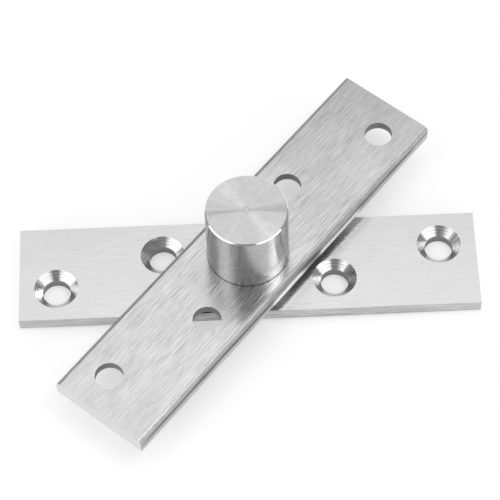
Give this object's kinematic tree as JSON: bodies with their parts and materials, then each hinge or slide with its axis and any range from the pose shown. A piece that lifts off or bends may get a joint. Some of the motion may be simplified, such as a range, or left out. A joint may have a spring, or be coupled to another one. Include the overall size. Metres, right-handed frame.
{
  "type": "pivot hinge",
  "caption": "Steel pivot hinge: flat countersunk plates that turn about an upright axis, with a round bearing housing standing on the upper plate.",
  "frame": {"origin": "on the pivot axis, at the lower plate's outer face, which it stands on", "axes": "+Z along the pivot axis from the lower plate to the bearing housing, +X along the lower plate"},
  "size_m": [0.13, 0.1182, 0.0343],
  "materials": {
    "plate_steel": "long-grain brushed stainless steel",
    "turned_steel": "fine-turned stainless steel",
    "bearing_steel": "ground and polished",
    "shield_steel": "pressed sheet",
    "spring_steel": "blackened spring steel",
    "cage_plastic": "moulded polyamide",
    "washer_plastic": "satin acetal"
  },
  "bodies": {
    "lower_leaf": {"lower_plate": "plate_steel", "pivot_shaft": "turned_steel", "thrust_washer": "washer_plastic", "shaft_circlip": "spring_steel", "inner_spacer": "turned_steel", "lower_bearing_inner_ring": "bearing_steel", "upper_bearing_inner_ring": "bearing_steel"},
    "upper_leaf": {"upper_plate": "plate_steel", "bearing_housing": "turned_steel", "housing_circlip": "spring_steel", "outer_spacer": "turned_steel", "lower_bearing_outer_ring": "bearing_steel", "lower_bearing_bottom_shield": "shield_steel", "lower_bearing_top_shield": "shield_steel", "upper_bearing_outer_ring": "bearing_steel", "upper_bearing_bottom_shield": "shield_steel", "upper_bearing_top_shield": "shield_steel"},
    "lower_ball_set": {"lower_bearing_cage": "cage_plastic", "lower_bearing_balls": "bearing_steel"},
    "upper_ball_set": {"upper_bearing_cage": "cage_plastic", "upper_bearing_balls": "bearing_steel"}
  },
  "joints": [
    {"name": "leaf_turn", "type": "hinge", "parent": "lower_leaf", "child": "upper_leaf", "pos_m": [0, 0, 0], "axis": [0, 0, 1], "continuous": true},
    {"name": "lower_balls_turn", "type": "hinge", "parent": "lower_leaf", "child": "lower_ball_set", "pos_m": [0, 0, 0.0125], "axis": [0, 0, 1], "continuous": true},
    {"name": "upper_balls_turn", "type": "hinge", "parent": "lower_leaf", "child": "upper_ball_set", "pos_m": [0, 0, 0.0245], "axis": [0, 0, 1], "continuous": true}
  ],
  "couplings": [
    {"joint": "lower_balls_turn", "follows": "leaf_turn", "ratio": 0.5821},
    {"joint": "upper_balls_turn", "follows": "leaf_turn", "ratio": 0.5821}
  ]
}
